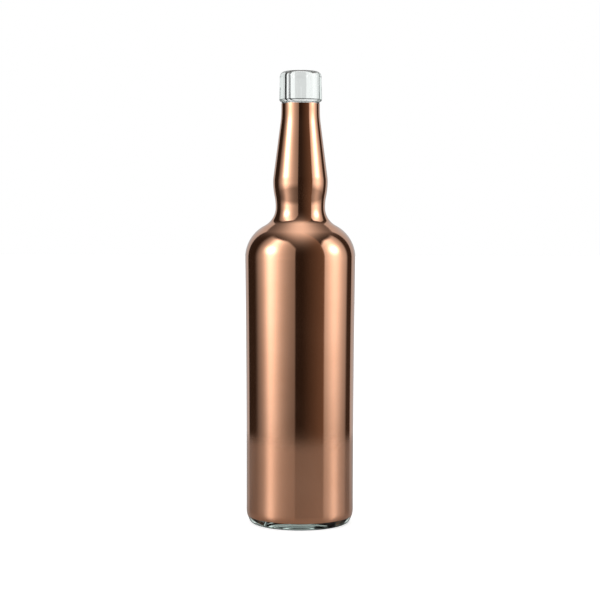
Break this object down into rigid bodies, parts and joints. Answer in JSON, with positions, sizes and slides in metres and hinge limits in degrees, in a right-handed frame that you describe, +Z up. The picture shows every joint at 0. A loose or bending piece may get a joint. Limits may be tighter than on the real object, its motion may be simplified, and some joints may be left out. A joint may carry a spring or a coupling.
{
  "type": "liquor bottle",
  "caption": "Open glass spirits bottle: tall body, round shoulder, neck with a soft swelling, smooth collar; copper mirror coat except at collar and heel.",
  "frame": {"origin": "centre of the standing ring, on the surface the bottle stands on", "axes": "+Z up along the bottle's axis of revolution, from base to mouth; X and Y are alike because the bottle is round"},
  "size_m": [0.0766, 0.0766, 0.3135],
  "materials": {
    "clear_glass": "polished",
    "copper_mirror": "polished"
  },
  "bodies": {
    "root": {"glass_bottle": "clear_glass", "copper_coat": "copper_mirror"}
  },
  "joints": []
}
